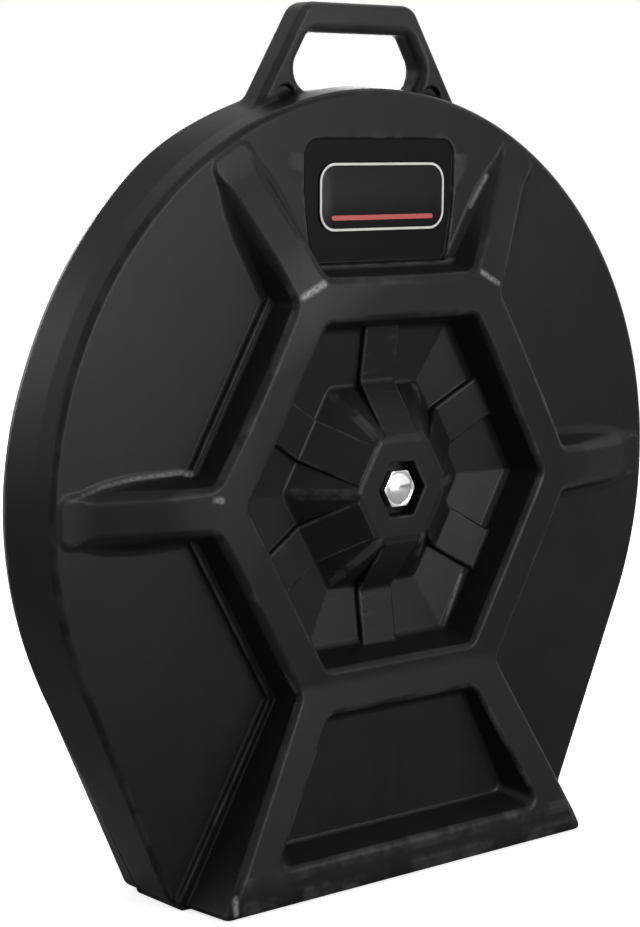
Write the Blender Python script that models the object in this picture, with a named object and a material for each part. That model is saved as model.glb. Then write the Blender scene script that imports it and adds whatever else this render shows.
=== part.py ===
"""Round hard case for cymbals: a front shell with handle, foot, hexagon ring and ribs, a rear shell that
lifts off backwards, and a spindle through both. The front faces -Y, the case stands on z = 0, and its
spindle lies along Y above the origin."""

from math import acos, atan2, cos, hypot, pi, radians, sin, sqrt, tan

import bmesh
import bpy
from mathutils import Vector

# Rim and depths, in metres
RIM_RADIUS = 0.3105  # at the parting line
SIDE_DRAFT = 0.005  # what the rim's side wall grows by, from the panel to the parting line
RIM_FILLET = 0.008
BASE_CUT = 0.0086  # what the flat base takes off the rim's lowest point
BASE_HALF_WIDTH = 0.1945  # of the flat base, at the parting line
BASE_TAPER = 0.0015
FOOT_REACH = 0.0171  # how far the toe stands out before the hexagon ring's face
RING_RELIEF = 0.030  # from the ring's face back to the panel
SIDE_DEPTH = 0.051  # from the panel back to the parting line
LID_DEPTH = 0.021  # from the parting line back to the rear face
WALL = 0.005
GAP = 0.0003  # between pieces that touch
OVERRUN = 0.004  # how far a cutter or a joined shape runs past the face it goes through
BURY = 0.001  # how deep a shape's thin end sinks into the face it runs out on
STEP_DOWN = 0.0004  # from one shape's face down to the next one's where they would lie in one plane
RIM_STEPS = 72
TANGENT_STEPS = 4
SIDE_STEPS = 3
TURN_STEPS = 32

# Hexagon ring, its wall, its ledge and its well
RING_OUTER = 0.1892  # corner radius at the ring's face
RING_INNER = 0.1522
RING_DRAFT = 0.0067
LEDGE_WIDTH = 0.0029
LEDGE_HEIGHT = 0.005
LEDGE_DRAFT = 0.0012
WELL_DRAFT = 0.0097
WELL_DEPTH = 0.0315
DISH = 0.0065  # how much deeper the well's floor lies at the boss

# Ribs from the ring's corners to the rim
RIB_ANGLES = (0, 60, 120, 180)
RIB_HALF_WIDTH = 0.0165
RIB_SPREAD = 0.012
RIB_CREASE = 0.0082  # from the ring's corner in to where a rib starts to fall
RIB_END_MARGIN = 0.0055  # from a rib's end to where the rim starts to round off

# Boss, spokes and the recess for the bolt's head
BOSS_BASE = 0.0895  # corner radius where it meets the floor
BOSS_TOP = 0.0430
BOSS_CORNER_HALF_WIDTH = 0.0058
BOSS_SET_BACK = 0.002
BAND_TOP = 0.0410
SPOKE_HALF_WIDTH = 0.0175
SPOKE_RELIEF = 0.005
RECESS_RADIUS = 0.024  # corner radius
RECESS_DEPTH = 0.013

# Foot and its pocket
FOOT_SPREAD = 0.009  # from the foot's upper corner at its face out to the corner at the panel
FOOT_FACE_INSET = 0.0070  # from the base's half width in to the foot's lower corner at its face
FOOT_BACK_INSET = 0.0045  # the same at the panel
TOE_RADIUS = 0.010
TOE_STEPS = 3
POCKET_HEAD = 0.0064  # from the foot's upper edge to the pocket's floor
POCKET_SILL = 0.0379  # from the ground to the pocket's floor
POCKET_FLOOR_DEPTH = 0.011  # behind the ring's face
POCKET_CHEEK_TOP = 0.0246  # from the foot's upper corner in to the pocket's floor
POCKET_CHEEK_BOTTOM = 0.0670
POCKET_CORNER = 0.008
POCKET_DRAFT_SHARE = 0.2  # sideways run for each metre of depth
CORNER_STEPS = 4

# Label pocket and plate
LABEL_POCKET_HALF_WIDTH = 0.0755
LABEL_POCKET_FOOT_HALF_WIDTH = 0.0665
LABEL_POCKET_SHOULDER_SHARE = 0.42  # of the pocket's height that is slanted
LABEL_POCKET_TOP_SHARE = 0.254  # of the panel's width between the ring and the rim, left above the pocket
LABEL_POCKET_BOTTOM_SHARE = 0.033  # and below it
LABEL_POCKET_CORNER = 0.011
LABEL_POCKET_DEPTH = 0.0022
LABEL_POCKET_DRAFT = 0.0015
LABEL_SIDE_MARGIN = 0.0115
LABEL_END_SHARE = 0.19  # of the pocket's height, left above and below the plate
LABEL_CORNER = 0.014
LABEL_THICKNESS = 0.0015

# Handle
HANDLE_RISE = 0.059  # above the rim
HANDLE_TOP_HALF_WIDTH = 0.0522
HANDLE_FOOT_HALF_WIDTH = 0.1029  # where its legs end, in the rim's wall
HANDLE_CORNER = 0.015
HANDLE_THICKNESS = 0.025
HANDLE_SET_IN = 0.002  # from the parting line forward to its back
HANDLE_BAR = 0.023
GRIP_TOP_HALF_WIDTH = 0.0540
GRIP_WIDEST_HALF_WIDTH = 0.0677
GRIP_WIDEST_DROP = 0.0525  # from the handle's top down to the opening's widest place
GRIP_FOOT_HALF_WIDTH = 0.0575
GRIP_CORNER = 0.007
HANDLE_EDGE = 0.004
ARCH_OFFSET = 0.0745  # from the middle to each leg's arched recess
ARCH_HALF_WIDTH = 0.0092
ARCH_HEIGHT = 0.013
ARCH_DEPTH = 0.007

# Rear shell
LID_DRAFT = 0.0055
LID_FILLET = 0.010
LID_LIFT = 0.0005  # from the ground up to the rear shell
LIP_DEPTH = 0.010
LIP_THICKNESS = 0.004
LIP_CLEARANCE = 0.0006
LIP_ROOT = 0.003
HUB_DEPTH = 0.018
HUB_RADIUS = 0.050  # at the rear face
HUB_DRAFT = 0.006
REAR_STEP_RADIUS = 0.190  # corner radius of the shallow hexagon step
REAR_STEP_DEPTH = 0.003
REAR_STEP_DRAFT = 0.003

# Spindle and what sits on it
SHAFT_RADIUS = 0.005
BORE_CLEARANCE = 0.0004
HEAD_RADIUS = 0.0161  # corner radius
HEAD_HEIGHT = 0.0100
HEAD_EDGE = 0.0012
DOME_RADIUS = 0.0120
DOME_HEIGHT = 0.0020
SHAFT_TIP = 0.0012
LOCK_WASHER_RADIUS = 0.014
LOCK_WASHER_THICKNESS = 0.002
LOCK_NUT_RADIUS = 0.0098
LOCK_NUT_HEIGHT = 0.008
CUP_RADIUS = 0.022
CUP_THICKNESS = 0.0025
SLEEVE_WALL = 0.0012
FELT_COUNT = 8
FELT_RADIUS = 0.019
FELT_THICKNESS = 0.003
CLAMP_RADIUS = 0.016
CLAMP_THICKNESS = 0.002
WING_HUB_RADIUS = 0.009
WING_HUB_HEIGHT = 0.009
WING_REACH = 0.022
WING_HALF_THICKNESS = 0.0025
WING_TIP_HALF_HEIGHT = 0.0035
REAR_WASHER_RADIUS = 0.016
REAR_WASHER_THICKNESS = 0.0015
KNOB_RADIUS = 0.030
KNOB_HEIGHT = 0.014
KNOB_LOBES = 6
KNOB_WAVE = 0.0025
KNOB_EDGE = 0.002
INSERT_RADIUS = 0.009
INSERT_HEIGHT = 0.0105
CAP_RADIUS = 0.012
CAP_HEIGHT = 0.0012
SHAFT_SHORT_OF_CAP = 0.0015

# Places that follow from the sizes
BASE_DROP = RIM_RADIUS - BASE_CUT  # from the spindle down to the ground
CASE_DEPTH = FOOT_REACH + RING_RELIEF + SIDE_DEPTH + LID_DEPTH
TOE_Y = -CASE_DEPTH / 2
RING_Y = TOE_Y + FOOT_REACH
PANEL_Y = RING_Y + RING_RELIEF
PARTING_Y = PANEL_Y + SIDE_DEPTH
BACK_Y = PARTING_Y + LID_DEPTH
FRONT_RADIUS = RIM_RADIUS - SIDE_DRAFT
RING_SIDE = RING_OUTER * cos(pi / 6)  # from the spindle to a side of the hexagon
FACE_RADIUS = FRONT_RADIUS - RIM_FILLET
RING_FOOT_RADIUS = RING_OUTER + RING_DRAFT + LEDGE_WIDTH + LEDGE_DRAFT
TOE_START = TOE_RADIUS + STEP_DOWN - BASE_DROP  # where the toe starts to round off
RECESS_FLOOR_Y = RING_Y + BOSS_SET_BACK + RECESS_DEPTH
HUB_FLOOR_Y = BACK_Y - HUB_DEPTH
BORE_RADIUS = SHAFT_RADIUS + BORE_CLEARANCE

for old in list(bpy.data.objects):
    bpy.data.objects.remove(old)


def material(name, colour, roughness, metallic):
    made = bpy.data.materials.new(name)
    made.use_nodes = True
    shader = made.node_tree.nodes["Principled BSDF"]
    shader.inputs["Base Color"].default_value = (*colour, 1)
    shader.inputs["Roughness"].default_value = roughness
    shader.inputs["Metallic"].default_value = metallic
    return made


SHELL_PLASTIC = material("shell_plastic", (0.022, 0.023, 0.026), 0.48, 0)
LABEL_PLASTIC = material("label_plastic", (0.015, 0.016, 0.018), 0.35, 0)
CHROME = material("chrome", (0.80, 0.81, 0.82), 0.12, 1)
ZINC = material("zinc", (0.55, 0.56, 0.57), 0.35, 1)
BRASS = material("brass", (0.72, 0.52, 0.25), 0.3, 1)
SLEEVE_PLASTIC = material("sleeve_plastic", (0.05, 0.05, 0.055), 0.4, 0)
FELT = material("felt", (0.045, 0.045, 0.05), 0.95, 0)
KNOB_PLASTIC = material("knob_plastic", (0.03, 0.03, 0.033), 0.4, 0)


# Outlines are lists of (x, height above the spindle) pairs, counter-clockwise as seen from the front


def at_depth(outline, y):
    """An outline's points in space, at depth y."""
    return [(x, y, BASE_DROP + z) for x, z in outline]


def hexagon(radius):
    return [(radius * cos(k * pi / 3), radius * sin(k * pi / 3)) for k in range(6)]


def circle(radius, steps=TURN_STEPS):
    return [(radius * cos(2 * pi * k / steps), radius * sin(2 * pi * k / steps)) for k in range(steps)]


def offset(corners, distance):
    """A convex outline with each side moved out by a distance, or in where that is negative."""
    moved = []
    count = len(corners)
    for k in range(count):
        before, here, after = (Vector(corners[(k + step) % count]) for step in (-1, 0, 1))
        first = (here - before).normalized()
        second = (after - here).normalized()
        normal = Vector((first.y, -first.x))
        turned_by = first.cross(second)
        shift = distance * (1 - first.dot(second)) / turned_by
        moved.append(tuple(here + normal * distance + first * shift))
    return moved


def rounded(corners, radii, steps=CORNER_STEPS):
    """An outline with an arc at each corner, of the radius given for it, or sharp where that is 0."""
    points = []
    count = len(corners)
    for k in range(count):
        before, here, after = (Vector(corners[(k + step) % count]) for step in (-1, 0, 1))
        first = (here - before).normalized()
        second = (after - here).normalized()
        bend = atan2(first.cross(second), first.dot(second))
        radius = radii[k]
        if not radius:
            points.append(tuple(here))
            continue
        reach = radius * tan(abs(bend) / 2)
        side = 1 if bend > 0 else -1
        centre = here - first * reach + side * radius * Vector((-first.y, first.x))
        arm = here - first * reach - centre
        for step in range(steps + 1):
            angle = bend * step / steps
            points.append((centre.x + arm.x * cos(angle) - arm.y * sin(angle),
                           centre.y + arm.x * sin(angle) + arm.y * cos(angle)))
    return points


def case_outline(radius, half_base, inset=0, lift=0):
    """The case's outline: an arc, two tangents and a flat base, drawn in by inset and with its base lifted."""
    corner_angle = atan2(BASE_DROP, half_base)
    start = acos(radius / hypot(BASE_DROP, half_base)) - corner_angle
    inner = radius - inset
    base = lift - BASE_DROP
    corner = Vector(((inner - base * sin(start)) / cos(start), base))
    touch = Vector((inner * cos(start), inner * sin(start)))
    right = [tuple(corner.lerp(touch, step / TANGENT_STEPS)) for step in range(TANGENT_STEPS)]
    left = [(-x, z) for x, z in reversed(right)]
    sweep = pi - 2 * start
    arc = [start + sweep * k / RIM_STEPS for k in range(RIM_STEPS + 1)]
    return right + [(inner * cos(a), inner * sin(a)) for a in arc] + left


def new_object(name, mesh_data, look):
    mesh_data.materials.append(look)
    made = bpy.data.objects.new(name, mesh_data)
    bpy.context.scene.collection.objects.link(made)
    return made


def loft(name, rings, look=SHELL_PLASTIC, closed=False, smooth=35):
    """A solid through rings of points. The first and last ring are its ends, or meet where it is closed."""
    made = bmesh.new()
    corners = [[made.verts.new(point) for point in ring] for ring in rings]
    pairs = list(zip(corners, corners[1:] + corners[:1]))
    if not closed:
        pairs.pop()
        made.faces.new(corners[0])
        made.faces.new(corners[-1])
    for first, second in pairs:
        for k in range(len(first)):
            after = (k + 1) % len(first)
            made.faces.new((first[k], first[after], second[after], second[k]))
    bmesh.ops.recalc_face_normals(made, faces=made.faces)
    mesh_data = bpy.data.meshes.new(name)
    made.to_mesh(mesh_data)
    made.free()
    mesh_data.shade_smooth()
    mesh_data.set_sharp_from_angle(angle=radians(smooth))
    return new_object(name, mesh_data, look)


def prism(name, outline, front, back, look=SHELL_PLASTIC):
    return loft(name, [at_depth(outline, front), at_depth(outline, back)], look)


def ring_solid(name, radius, bore, front, back, look):
    """A washer, a tube or a disc with a round bore on the spindle."""
    section = ((bore, front), (radius, front), (radius, back), (bore, back))
    return loft(name, [at_depth(circle(r), y) for r, y in section], look, closed=True)


def apply_boolean(target, tool, operation):
    """Joins or cuts the target with a tool that the model then leaves out."""
    modifier = target.modifiers.new(operation.lower(), "BOOLEAN")
    modifier.operation = operation
    modifier.solver = "EXACT"
    modifier.object = tool
    tool.hide_render = True
    tool.display_type = "WIRE"


def join(target, *tools):
    for tool in tools:
        apply_boolean(target, tool, "UNION")
    return target


def cut(target, *tools):
    for tool in tools:
        apply_boolean(target, tool, "DIFFERENCE")
    return target


def turned_about(angle, along, across, y):
    """A point at a distance along a direction in the case's plane, and across it."""
    return (along * cos(angle) - across * sin(angle), y, BASE_DROP + along * sin(angle) + across * cos(angle))


def wall_name(name, inset):
    return f"{name}_inner" if inset else name


# Front shell: each form is made at full size and drawn in by the wall, and the second is cut from the first


def side_radius(y):
    """The rim's radius at a depth between the panel and the parting line."""
    share = (y - PANEL_Y - RIM_FILLET) / (SIDE_DEPTH - RIM_FILLET)
    return FRONT_RADIUS + SIDE_DRAFT * share


def base_half(y):
    return BASE_HALF_WIDTH - BASE_TAPER * (PARTING_Y - y) / SIDE_DEPTH


def body_form(inset):
    back = PARTING_Y + OVERRUN if inset else PARTING_Y - GAP / 2
    rings = []
    for step in range(TOE_STEPS + 1):
        angle = pi / 2 * step / TOE_STEPS
        drawn_in = RIM_FILLET * (1 - sin(angle))
        y = PANEL_Y + RIM_FILLET * (1 - cos(angle))
        outline = case_outline(FRONT_RADIUS, base_half(y), inset + drawn_in, inset)
        rings.append(at_depth(outline, y + inset * cos(angle)))
    start = PANEL_Y + RIM_FILLET
    for step in range(1, SIDE_STEPS + 1):
        y = start + (back - start) * step / SIDE_STEPS
        rings.append(at_depth(case_outline(side_radius(y), base_half(y), inset, inset), y))
    return loft(wall_name("front_shell", inset), rings)


def ring_form(inset):
    """The raised hexagon, with a ledge at the foot of its wall."""
    ledge_y = PANEL_Y - LEDGE_HEIGHT
    wall = inset / cos(pi / 6)
    stations = (
        (RING_OUTER, RING_Y),
        (RING_OUTER + RING_DRAFT, ledge_y),
        (RING_OUTER + RING_DRAFT + LEDGE_WIDTH, ledge_y),
        (RING_FOOT_RADIUS, PANEL_Y + OVERRUN),
    )
    rings = [at_depth(hexagon(radius - wall), y + inset) for radius, y in stations]
    return loft(wall_name("ring_form", inset), rings)


def well_form(inset):
    """The hollow inside the hexagon ring, which cuts the full form, and in a larger size the inner one."""
    wall = inset / cos(pi / 6)
    mouth = RING_INNER + WELL_DRAFT * OVERRUN / WELL_DEPTH
    rings = [
        at_depth(hexagon(mouth + wall), RING_Y - OVERRUN),
        at_depth(hexagon(RING_INNER - WELL_DRAFT + wall), RING_Y + WELL_DEPTH + inset),
        at_depth(hexagon(BOSS_BASE), RING_Y + WELL_DEPTH + DISH + inset),
    ]
    return loft(wall_name("well_form", inset), rings)


def rib_form(angle, inset):
    """A rib whose top falls from the ring's face to the panel near the rim."""
    crease = RING_OUTER - RIB_CREASE
    end = FACE_RADIUS - RIB_END_MARGIN
    start = RING_SIDE
    buried_end = end + (end - crease) * BURY / RING_RELIEF
    foot_y = PANEL_Y + inset + OVERRUN - BURY
    top = RIB_HALF_WIDTH - inset
    rings = []
    head_y = RING_Y + STEP_DOWN + inset
    for along, top_y in ((start, head_y), (crease, head_y), (buried_end, PANEL_Y + inset + BURY)):
        foot = top + RIB_SPREAD * (foot_y - top_y) / RING_RELIEF
        section = ((top, top_y), (foot, foot_y), (-foot, foot_y), (-top, top_y))
        rings.append([turned_about(angle, along, across, y) for across, y in section])
    return loft(wall_name(f"rib_form_{round(angle / pi * 180)}", inset), rings)


def foot_face_y(z):
    """The depth of the foot's sloping face at a height above the spindle."""
    return RING_Y - FOOT_REACH * (-z - RING_SIDE) / (-TOE_START - RING_SIDE)


def foot_form(inset):
    """The foot below the ring: a face that slopes forward to the toe, and walls back to the panel."""
    shoulder = RING_OUTER / 2
    toe_half = base_half(PANEL_Y) - FOOT_FACE_INSET
    face = offset([(-shoulder, -RING_SIDE), (-toe_half, -BASE_DROP), (toe_half, -BASE_DROP),
                   (shoulder, -RING_SIDE)], -inset)
    back_half = base_half(PANEL_Y) - FOOT_BACK_INSET
    back = offset([(-shoulder - FOOT_SPREAD, -RING_SIDE), (-back_half, -BASE_DROP),
                   (back_half, -BASE_DROP), (shoulder + FOOT_SPREAD, -RING_SIDE)], -inset)
    toe_y = foot_face_y(TOE_START) + TOE_RADIUS
    inside_ring = (RING_OUTER + RING_INNER) / 2 * cos(pi / 6)
    head_y = RING_Y + STEP_DOWN + inset
    sections = [(-inside_ring, head_y), (-RING_SIDE, head_y)]
    for step in range(TOE_STEPS + 1):
        angle = pi / 2 * step / TOE_STEPS
        reach = TOE_RADIUS - inset
        sections.append((TOE_START - reach * sin(angle), toe_y - reach * cos(angle)))
    back_y = PANEL_Y + inset + OVERRUN + BURY
    rings = []
    for z, y in sections:
        share = (-z - RING_SIDE) / (BASE_DROP - RING_SIDE)
        face_half = face[3][0] + (face[2][0] - face[3][0]) * share
        panel_half = back[3][0] + (back[2][0] - back[3][0]) * share
        buried_half = face_half + (panel_half - face_half) * (back_y - y) / (PANEL_Y + inset - y)
        height = BASE_DROP + z
        rings.append([(-face_half, y, height), (face_half, y, height),
                      (buried_half, back_y, height), (-buried_half, back_y, height)])
    return loft(wall_name("foot_form", inset), rings)


def foot_pocket(inset):
    """The blind pocket in the foot's face, with drafted walls and an upright floor."""
    floor_y = RING_Y + POCKET_FLOOR_DEPTH + inset
    front_y = TOE_Y - OVERRUN
    top = -RING_SIDE - POCKET_HEAD
    bottom = -BASE_DROP + POCKET_SILL
    top_half = RING_OUTER / 2 - POCKET_CHEEK_TOP
    bottom_half = base_half(PANEL_Y) - FOOT_FACE_INSET - POCKET_CHEEK_BOTTOM
    floor = [(-top_half, top), (-bottom_half, bottom), (bottom_half, bottom), (top_half, top)]
    run = (floor_y - front_y) * POCKET_DRAFT_SHARE
    rings = [
        at_depth(rounded(offset(floor, inset + run), [POCKET_CORNER] * 4), front_y),
        at_depth(rounded(offset(floor, inset), [POCKET_CORNER] * 4), floor_y),
    ]
    return loft(wall_name("foot_pocket", inset), rings)


def label_pocket_corners():
    """The label pocket's outline between the ring's foot and the rim."""
    half = LABEL_POCKET_HALF_WIDTH
    foot_half = LABEL_POCKET_FOOT_HALF_WIDTH
    ring_foot = RING_FOOT_RADIUS * cos(pi / 6)
    panel_width = FACE_RADIUS - ring_foot
    bottom = ring_foot + panel_width * LABEL_POCKET_BOTTOM_SHARE
    top = FACE_RADIUS - panel_width * LABEL_POCKET_TOP_SHARE
    shoulder = bottom + (top - bottom) * LABEL_POCKET_SHOULDER_SHARE
    return [(-foot_half, bottom), (foot_half, bottom), (half, shoulder),
            (half, top), (-half, top), (-half, shoulder)]


def label_pocket(inset):
    corners = label_pocket_corners()
    radii = [LABEL_POCKET_CORNER] * 2 + [0] + [LABEL_POCKET_CORNER] * 2 + [0]
    rings = [
        at_depth(rounded(offset(corners, inset + LABEL_POCKET_DRAFT), radii), PANEL_Y - OVERRUN),
        at_depth(rounded(offset(corners, inset), radii), PANEL_Y + LABEL_POCKET_DEPTH + inset),
    ]
    return loft(wall_name("label_pocket", inset), rings)


def boss_form(inset):
    """The boss's core: a hexagon at the floor that becomes twelve-sided at the top."""
    wall = inset / cos(pi / 6)
    foot_y = RING_Y + WELL_DEPTH + DISH + inset
    top_y = RING_Y + BOSS_SET_BACK + inset
    foot = []
    top = []
    for k in range(6):
        for side in (-1, 1):
            angle = k * pi / 3
            foot.append(turned_about(angle, BOSS_BASE - wall, side * BOSS_CORNER_HALF_WIDTH / 4, foot_y))
            top.append(turned_about(angle, BOSS_TOP - wall, side * BOSS_CORNER_HALF_WIDTH, top_y))
    skirt = [(x, foot_y + OVERRUN, z) for x, y, z in foot]
    return loft(wall_name("boss_form", inset), [top, foot, skirt])


def slab(name, angle, stations, half_width):
    """A straight bar along a direction. Each station is how far along, its top's depth and its foot's."""
    rings = []
    for along, top_y, foot_y in stations:
        section = ((half_width, top_y), (half_width, foot_y), (-half_width, foot_y), (-half_width, top_y))
        rings.append([turned_about(angle, along, across, y) for across, y in section])
    return loft(name, rings)


def spoke_and_band(angle):
    """A spoke on the well's floor that runs on up the boss as a band."""
    ring_foot = (RING_INNER - WELL_DRAFT) * cos(pi / 6)
    boss_foot = BOSS_BASE * cos(pi / 6)
    floor_y = RING_Y + WELL_DEPTH
    dish_y = floor_y + DISH
    band_top_y = RING_Y + BOSS_SET_BACK - STEP_DOWN
    number = round(angle / pi * 180)
    stations = []
    for along in (ring_foot + OVERRUN, boss_foot - WALL):
        here_y = floor_y + DISH * (ring_foot - along) / (ring_foot - boss_foot)
        stations.append((along, here_y - SPOKE_RELIEF, here_y + WALL / 2))
    spoke = slab(f"spoke_{number}", angle, stations, SPOKE_HALF_WIDTH)
    outer = boss_foot + SPOKE_RELIEF
    rings = []
    band_half_width = SPOKE_HALF_WIDTH - STEP_DOWN
    for across in (-band_half_width, band_half_width):
        section = ((BAND_TOP, band_top_y), (outer, dish_y - SPOKE_RELIEF + STEP_DOWN),
                   (outer, dish_y + WALL / 4), (boss_foot - WALL / 2, dish_y + WALL / 4),
                   (BAND_TOP - WALL / 2, band_top_y))
        rings.append([turned_about(angle, along, across, y) for along, y in section])
    return spoke, loft(f"band_{number}", rings)


def handle_form():
    """The handle: a bar on two splayed legs, with an arched recess in the front of each leg's root."""
    back = PARTING_Y - HANDLE_SET_IN
    front = back - HANDLE_THICKNESS
    top = RIM_RADIUS + HANDLE_RISE
    foot = sqrt((FRONT_RADIUS - WALL / 2) ** 2 - HANDLE_FOOT_HALF_WIDTH**2)
    corners = [(-HANDLE_FOOT_HALF_WIDTH, foot), (HANDLE_FOOT_HALF_WIDTH, foot),
               (HANDLE_TOP_HALF_WIDTH, top), (-HANDLE_TOP_HALF_WIDTH, top)]
    edge = min(HANDLE_EDGE, HANDLE_BAR / 4, HANDLE_THICKNESS / 4)
    outline = rounded(corners, [0, 0, HANDLE_CORNER, HANDLE_CORNER])
    inner_outline = rounded(offset(corners, -edge), [0, 0, HANDLE_CORNER - edge, HANDLE_CORNER - edge])
    rings = [at_depth(inner_outline, front), at_depth(outline, front + edge),
             at_depth(outline, back - edge), at_depth(inner_outline, back)]
    handle = loft("handle_form", rings)
    grip_top = top - HANDLE_BAR
    grip = [(-GRIP_FOOT_HALF_WIDTH, foot - OVERRUN), (GRIP_FOOT_HALF_WIDTH, foot - OVERRUN),
            (GRIP_WIDEST_HALF_WIDTH, top - GRIP_WIDEST_DROP), (GRIP_TOP_HALF_WIDTH, grip_top),
            (-GRIP_TOP_HALF_WIDTH, grip_top), (-GRIP_WIDEST_HALF_WIDTH, top - GRIP_WIDEST_DROP)]
    wide = rounded(offset(grip, edge), [GRIP_CORNER + edge] * 6)
    narrow = rounded(grip, [GRIP_CORNER] * 6)
    rings = [at_depth(wide, front), at_depth(narrow, front + edge), at_depth(narrow, back - edge),
             at_depth(wide, back)]
    rings = [at_depth(wide, front - OVERRUN)] + rings + [at_depth(wide, back + OVERRUN)]
    cut(handle, loft("grip_cut", rings))
    for side in (-1, 1):
        middle = side * ARCH_OFFSET
        spring = sqrt(FRONT_RADIUS**2 - ARCH_OFFSET**2) + ARCH_HEIGHT - ARCH_HALF_WIDTH
        arch = [(middle - ARCH_HALF_WIDTH, foot - OVERRUN), (middle + ARCH_HALF_WIDTH, foot - OVERRUN)]
        for step in range(TURN_STEPS // 4 + 1):
            angle = pi * step / (TURN_STEPS // 4)
            arch.append((middle + ARCH_HALF_WIDTH * cos(angle), spring + ARCH_HALF_WIDTH * sin(angle)))
        arch_name = "arch_cut_left" if side < 0 else "arch_cut_right"
        cut(handle, prism(arch_name, arch, front - OVERRUN, front + ARCH_DEPTH))
    return handle


def recess_form(inset):
    wall = inset / cos(pi / 6)
    return prism(wall_name("recess_form", inset), hexagon(RECESS_RADIUS + wall), RING_Y - OVERRUN,
                 RECESS_FLOOR_Y + inset)


def front_form(inset):
    """The whole front form, full size or drawn in by the wall."""
    form = body_form(inset)
    join(form, ring_form(inset), foot_form(inset))
    join(form, *(rib_form(radians(angle), inset) for angle in RIB_ANGLES))
    cut(form, well_form(inset), foot_pocket(inset), label_pocket(inset))
    join(form, boss_form(inset))
    return form


def front_shell():
    shell = front_form(0)
    for k in range(6):
        join(shell, *spoke_and_band(pi / 6 + k * pi / 3))
    cut(shell, recess_form(0))
    join(shell, handle_form())
    cavity = front_form(WALL)
    cut(cavity, recess_form(WALL))
    cut(shell, cavity)
    cut(shell, prism("spindle_hole", circle(BORE_RADIUS), RING_Y - OVERRUN, RECESS_FLOOR_Y + WALL + OVERRUN))
    return shell


# Rear shell: a shallow lid with a lip that nests in the front shell and a hub recess for the knob


def lid_radius(y):
    return RIM_RADIUS - LID_DRAFT * (y - PARTING_Y) / (LID_DEPTH - LID_FILLET)


def lid_rings(inset):
    """The rings from the parting line to the rear face."""
    rings = []
    start = PARTING_Y + (LIP_ROOT if inset else GAP / 2)
    lift = LID_LIFT + inset
    rings.append(at_depth(case_outline(lid_radius(start), BASE_HALF_WIDTH, inset, lift), start))
    edge_y = BACK_Y - LID_FILLET
    for step in range(TOE_STEPS + 1):
        angle = pi / 2 * step / TOE_STEPS
        rounding = LID_FILLET * (1 - cos(angle))
        outline = case_outline(lid_radius(edge_y), BASE_HALF_WIDTH, inset + rounding, lift + rounding)
        rings.append(at_depth(outline, edge_y + (LID_FILLET - inset) * sin(angle)))
    return rings


def rear_shell():
    lip_inset = WALL + LIP_CLEARANCE
    lip_front = PARTING_Y - LIP_DEPTH
    lip_radius = side_radius(lip_front)
    lip = case_outline(lip_radius, base_half(lip_front), lip_inset, lip_inset)
    bore = case_outline(lip_radius, base_half(lip_front), lip_inset + LIP_THICKNESS, lip_inset + LIP_THICKNESS)
    shell = loft("rear_shell", [at_depth(lip, lip_front), at_depth(lip, PARTING_Y + GAP / 2)] + lid_rings(0))
    rings = [at_depth(bore, lip_front - OVERRUN), at_depth(bore, PARTING_Y + LIP_ROOT)] + lid_rings(WALL)
    cavity = loft("lid_cavity", rings)
    cut(cavity, hub_form(WALL), step_form(WALL))
    cut(shell, hub_form(0), step_form(0), cavity)
    cut(shell, prism("lid_hole", circle(BORE_RADIUS), HUB_FLOOR_Y - WALL - OVERRUN, HUB_FLOOR_Y + OVERRUN))
    return shell


def hub_form(inset):
    floor_radius = HUB_RADIUS - HUB_DRAFT + inset
    slope = HUB_DRAFT / HUB_DEPTH
    rings = [
        at_depth(circle(floor_radius), HUB_FLOOR_Y - inset),
        at_depth(circle(floor_radius + slope * (HUB_DEPTH + OVERRUN + inset)), BACK_Y + OVERRUN),
    ]
    return loft(wall_name("hub_form", inset), rings)


def step_form(inset):
    """The shallow hexagon step in the rear face."""
    wall = inset / cos(pi / 6)
    slope = REAR_STEP_DRAFT / REAR_STEP_DEPTH
    rings = [
        at_depth(hexagon(REAR_STEP_RADIUS + wall - REAR_STEP_DRAFT), BACK_Y - REAR_STEP_DEPTH - inset),
        at_depth(hexagon(REAR_STEP_RADIUS + wall + slope * OVERRUN), BACK_Y + OVERRUN),
    ]
    return loft(wall_name("step_form", inset), rings)


def label_plate():
    """A flat plate in the label pocket, its face level with the panel."""
    corners = label_pocket_corners()
    half = LABEL_POCKET_HALF_WIDTH - LABEL_SIDE_MARGIN
    end_margin = (corners[3][1] - corners[0][1]) * LABEL_END_SHARE
    bottom = corners[0][1] + end_margin
    top = corners[3][1] - end_margin
    back = PANEL_Y + LABEL_POCKET_DEPTH - GAP
    corner = min(LABEL_CORNER, (top - bottom) / 3)
    outline = rounded([(-half, bottom), (half, bottom), (half, top), (-half, top)], [corner] * 4)
    return prism("label_plate", outline, back - LABEL_THICKNESS, back, LABEL_PLASTIC)


# Spindle and hardware, from the head backwards


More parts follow.
